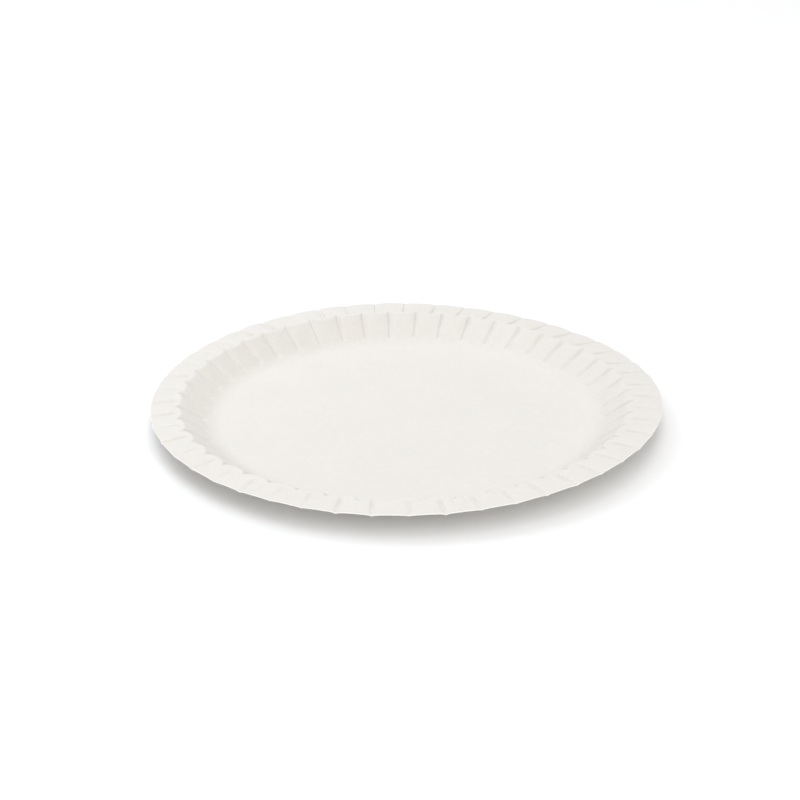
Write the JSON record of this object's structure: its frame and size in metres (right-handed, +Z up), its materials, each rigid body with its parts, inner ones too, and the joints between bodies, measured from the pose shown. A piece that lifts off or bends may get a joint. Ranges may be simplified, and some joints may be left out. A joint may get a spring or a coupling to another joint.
{
  "type": "paper plate",
  "caption": "Round shallow disposable plate pressed from one sheet of white board, with a flat floor, a pleated sloping wall and a level pleated rim.",
  "frame": {"origin": "middle of the underside, on the table", "axes": "+Z up along the plate's axis; +X along the middle of a wall pleat"},
  "size_m": [0.23, 0.23, 0.0109],
  "materials": {
    "board": "uncoated smooth white board, slightly warm, matt with a faint sheen where it was pressed"
  },
  "bodies": {
    "root": {"plate": "board"}
  },
  "joints": []
}
